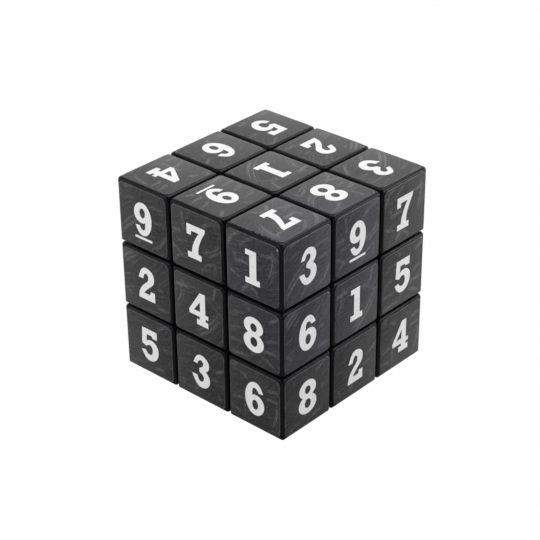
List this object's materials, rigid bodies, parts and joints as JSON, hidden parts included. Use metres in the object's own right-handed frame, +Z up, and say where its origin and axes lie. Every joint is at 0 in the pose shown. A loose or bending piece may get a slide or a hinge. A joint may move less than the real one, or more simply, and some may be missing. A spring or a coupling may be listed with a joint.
{
  "type": "number puzzle cube",
  "caption": "Twisting puzzle cube of black plastic cubies with chalkboard-grey number stickers; every face turns about a sprung inner core.",
  "frame": {"origin": "centre of the cube, where the six face axes meet inside the core", "axes": "+Z up out of the up face, -Y out of the front face, +X out of the right face"},
  "size_m": [0.057, 0.057, 0.057],
  "materials": {
    "cubie_plastic": "moulded black plastic, satin",
    "sticker_vinyl": "printed vinyl sticker, chalkboard grey with white digits",
    "core_plastic": "moulded dark plastic",
    "steel": "bright zinc"
  },
  "bodies": {
    "core": {"core_spider": "core_plastic", "screw_spring_sets": "steel"},
    "down_centre_piece": {"down_centre": "cubie_plastic", "down_centre_cap": "cubie_plastic", "down_centre_sticker": "sticker_vinyl"},
    "front_centre_piece": {"front_centre": "cubie_plastic", "front_centre_cap": "cubie_plastic", "front_centre_sticker": "sticker_vinyl"},
    "left_centre_piece": {"left_centre": "cubie_plastic", "left_centre_cap": "cubie_plastic", "left_centre_sticker": "sticker_vinyl"},
    "right_centre_piece": {"right_centre": "cubie_plastic", "right_centre_cap": "cubie_plastic", "right_centre_sticker": "sticker_vinyl"},
    "back_centre_piece": {"back_centre": "cubie_plastic", "back_centre_cap": "cubie_plastic", "back_centre_sticker": "sticker_vinyl"},
    "up_centre_piece": {"up_centre": "cubie_plastic", "up_centre_cap": "cubie_plastic", "up_centre_sticker": "sticker_vinyl"},
    "down_front_edge_piece": {"down_front_edge": "cubie_plastic", "down_front_edge_stickers": "sticker_vinyl"},
    "down_left_edge_piece": {"down_left_edge": "cubie_plastic", "down_left_edge_stickers": "sticker_vinyl"},
    "down_right_edge_piece": {"down_right_edge": "cubie_plastic", "down_right_edge_stickers": "sticker_vinyl"},
    "down_back_edge_piece": {"down_back_edge": "cubie_plastic", "down_back_edge_stickers": "sticker_vinyl"},
    "front_left_edge_piece": {"front_left_edge": "cubie_plastic", "front_left_edge_stickers": "sticker_vinyl"},
    "front_right_edge_piece": {"front_right_edge": "cubie_plastic", "front_right_edge_stickers": "sticker_vinyl"},
    "back_left_edge_piece": {"back_left_edge": "cubie_plastic", "back_left_edge_stickers": "sticker_vinyl"},
    "back_right_edge_piece": {"back_right_edge": "cubie_plastic", "back_right_edge_stickers": "sticker_vinyl"},
    "up_front_edge_piece": {"up_front_edge": "cubie_plastic", "up_front_edge_stickers": "sticker_vinyl"},
    "up_left_edge_piece": {"up_left_edge": "cubie_plastic", "up_left_edge_stickers": "sticker_vinyl"},
    "up_right_edge_piece": {"up_right_edge": "cubie_plastic", "up_right_edge_stickers": "sticker_vinyl"},
    "up_back_edge_piece": {"up_back_edge": "cubie_plastic", "up_back_edge_stickers": "sticker_vinyl"},
    "down_front_left_corner_piece": {"down_front_left_corner": "cubie_plastic", "down_front_left_corner_stickers": "sticker_vinyl"},
    "down_front_right_corner_piece": {"down_front_right_corner": "cubie_plastic", "down_front_right_corner_stickers": "sticker_vinyl"},
    "down_back_left_corner_piece": {"down_back_left_corner": "cubie_plastic", "down_back_left_corner_stickers": "sticker_vinyl"},
    "down_back_right_corner_piece": {"down_back_right_corner": "cubie_plastic", "down_back_right_corner_stickers": "sticker_vinyl"},
    "up_front_left_corner_piece": {"up_front_left_corner": "cubie_plastic", "up_front_left_corner_stickers": "sticker_vinyl"},
    "up_front_right_corner_piece": {"up_front_right_corner": "cubie_plastic", "up_front_right_corner_stickers": "sticker_vinyl"},
    "up_back_left_corner_piece": {"up_back_left_corner": "cubie_plastic", "up_back_left_corner_stickers": "sticker_vinyl"},
    "up_back_right_corner_piece": {"up_back_right_corner": "cubie_plastic", "up_back_right_corner_stickers": "sticker_vinyl"}
  },
  "joints": [
    {"name": "down_turn", "type": "hinge", "parent": "core", "child": "down_centre_piece", "pos_m": [0, 0, 0], "axis": [0, 0, 1], "continuous": true},
    {"name": "front_turn", "type": "hinge", "parent": "core", "child": "front_centre_piece", "pos_m": [0, 0, 0], "axis": [0, 1, 0], "continuous": true},
    {"name": "left_turn", "type": "hinge", "parent": "core", "child": "left_centre_piece", "pos_m": [0, 0, 0], "axis": [1, 0, 0], "continuous": true},
    {"name": "right_turn", "type": "hinge", "parent": "core", "child": "right_centre_piece", "pos_m": [0, 0, 0], "axis": [1, 0, 0], "continuous": true},
    {"name": "back_turn", "type": "hinge", "parent": "core", "child": "back_centre_piece", "pos_m": [0, 0, 0], "axis": [0, 1, 0], "continuous": true},
    {"name": "up_turn", "type": "hinge", "parent": "core", "child": "up_centre_piece", "pos_m": [0, 0, 0], "axis": [0, 0, 1], "continuous": true},
    {"name": "down_front_edge_turn", "type": "hinge", "parent": "front_centre_piece", "child": "down_front_edge_piece", "pos_m": [0, 0, 0], "axis": [0, 0, 1], "continuous": true},
    {"name": "down_left_edge_turn", "type": "hinge", "parent": "down_centre_piece", "child": "down_left_edge_piece", "pos_m": [0, 0, 0], "axis": [1, 0, 0], "continuous": true},
    {"name": "down_right_edge_turn", "type": "hinge", "parent": "down_centre_piece", "child": "down_right_edge_piece", "pos_m": [0, 0, 0], "axis": [1, 0, 0], "continuous": true},
    {"name": "down_back_edge_turn", "type": "hinge", "parent": "back_centre_piece", "child": "down_back_edge_piece", "pos_m": [0, 0, 0], "axis": [0, 0, 1], "continuous": true},
    {"name": "front_left_edge_turn", "type": "hinge", "parent": "left_centre_piece", "child": "front_left_edge_piece", "pos_m": [0, 0, 0], "axis": [0, 1, 0], "continuous": true},
    {"name": "front_right_edge_turn", "type": "hinge", "parent": "right_centre_piece", "child": "front_right_edge_piece", "pos_m": [0, 0, 0], "axis": [0, 1, 0], "continuous": true},
    {"name": "back_left_edge_turn", "type": "hinge", "parent": "left_centre_piece", "child": "back_left_edge_piece", "pos_m": [0, 0, 0], "axis": [0, 1, 0], "continuous": true},
    {"name": "back_right_edge_turn", "type": "hinge", "parent": "right_centre_piece", "child": "back_right_edge_piece", "pos_m": [0, 0, 0], "axis": [0, 1, 0], "continuous": true},
    {"name": "up_front_edge_turn", "type": "hinge", "parent": "front_centre_piece", "child": "up_front_edge_piece", "pos_m": [0, 0, 0], "axis": [0, 0, 1], "continuous": true},
    {"name": "up_left_edge_turn", "type": "hinge", "parent": "up_centre_piece", "child": "up_left_edge_piece", "pos_m": [0, 0, 0], "axis": [1, 0, 0], "continuous": true},
    {"name": "up_right_edge_turn", "type": "hinge", "parent": "up_centre_piece", "child": "up_right_edge_piece", "pos_m": [0, 0, 0], "axis": [1, 0, 0], "continuous": true},
    {"name": "up_back_edge_turn", "type": "hinge", "parent": "back_centre_piece", "child": "up_back_edge_piece", "pos_m": [0, 0, 0], "axis": [0, 0, 1], "continuous": true},
    {"name": "down_front_left_corner_turn", "type": "hinge", "parent": "front_left_edge_piece", "child": "down_front_left_corner_piece", "pos_m": [0, 0, 0], "axis": [0, 0, 1], "continuous": true},
    {"name": "down_front_right_corner_turn", "type": "hinge", "parent": "front_right_edge_piece", "child": "down_front_right_corner_piece", "pos_m": [0, 0, 0], "axis": [0, 0, 1], "continuous": true},
    {"name": "down_back_left_corner_turn", "type": "hinge", "parent": "back_left_edge_piece", "child": "down_back_left_corner_piece", "pos_m": [0, 0, 0], "axis": [0, 0, 1], "continuous": true},
    {"name": "down_back_right_corner_turn", "type": "hinge", "parent": "back_right_edge_piece", "child": "down_back_right_corner_piece", "pos_m": [0, 0, 0], "axis": [0, 0, 1], "continuous": true},
    {"name": "up_front_left_corner_turn", "type": "hinge", "parent": "front_left_edge_piece", "child": "up_front_left_corner_piece", "pos_m": [0, 0, 0], "axis": [0, 0, 1], "continuous": true},
    {"name": "up_front_right_corner_turn", "type": "hinge", "parent": "front_right_edge_piece", "child": "up_front_right_corner_piece", "pos_m": [0, 0, 0], "axis": [0, 0, 1], "continuous": true},
    {"name": "up_back_left_corner_turn", "type": "hinge", "parent": "back_left_edge_piece", "child": "up_back_left_corner_piece", "pos_m": [0, 0, 0], "axis": [0, 0, 1], "continuous": true},
    {"name": "up_back_right_corner_turn", "type": "hinge", "parent": "back_right_edge_piece", "child": "up_back_right_corner_piece", "pos_m": [0, 0, 0], "axis": [0, 0, 1], "continuous": true}
  ],
  "couplings": [
    {"joint": "down_front_edge_turn", "follows": "down_turn", "ratio": 1},
    {"joint": "down_left_edge_turn", "follows": "left_turn", "ratio": 1},
    {"joint": "down_right_edge_turn", "follows": "right_turn", "ratio": 1},
    {"joint": "down_back_edge_turn", "follows": "down_turn", "ratio": 1},
    {"joint": "front_left_edge_turn", "follows": "front_turn", "ratio": 1},
    {"joint": "front_right_edge_turn", "follows": "front_turn", "ratio": 1},
    {"joint": "back_left_edge_turn", "follows": "back_turn", "ratio": 1},
    {"joint": "back_right_edge_turn", "follows": "back_turn", "ratio": 1},
    {"joint": "up_front_edge_turn", "follows": "up_turn", "ratio": 1},
    {"joint": "up_left_edge_turn", "follows": "left_turn", "ratio": 1},
    {"joint": "up_right_edge_turn", "follows": "right_turn", "ratio": 1},
    {"joint": "up_back_edge_turn", "follows": "up_turn", "ratio": 1},
    {"joint": "down_front_left_corner_turn", "follows": "down_turn", "ratio": 1},
    {"joint": "down_front_right_corner_turn", "follows": "down_turn", "ratio": 1},
    {"joint": "down_back_left_corner_turn", "follows": "down_turn", "ratio": 1},
    {"joint": "down_back_right_corner_turn", "follows": "down_turn", "ratio": 1},
    {"joint": "up_front_left_corner_turn", "follows": "up_turn", "ratio": 1},
    {"joint": "up_front_right_corner_turn", "follows": "up_turn", "ratio": 1},
    {"joint": "up_back_left_corner_turn", "follows": "up_turn", "ratio": 1},
    {"joint": "up_back_right_corner_turn", "follows": "up_turn", "ratio": 1}
  ]
}
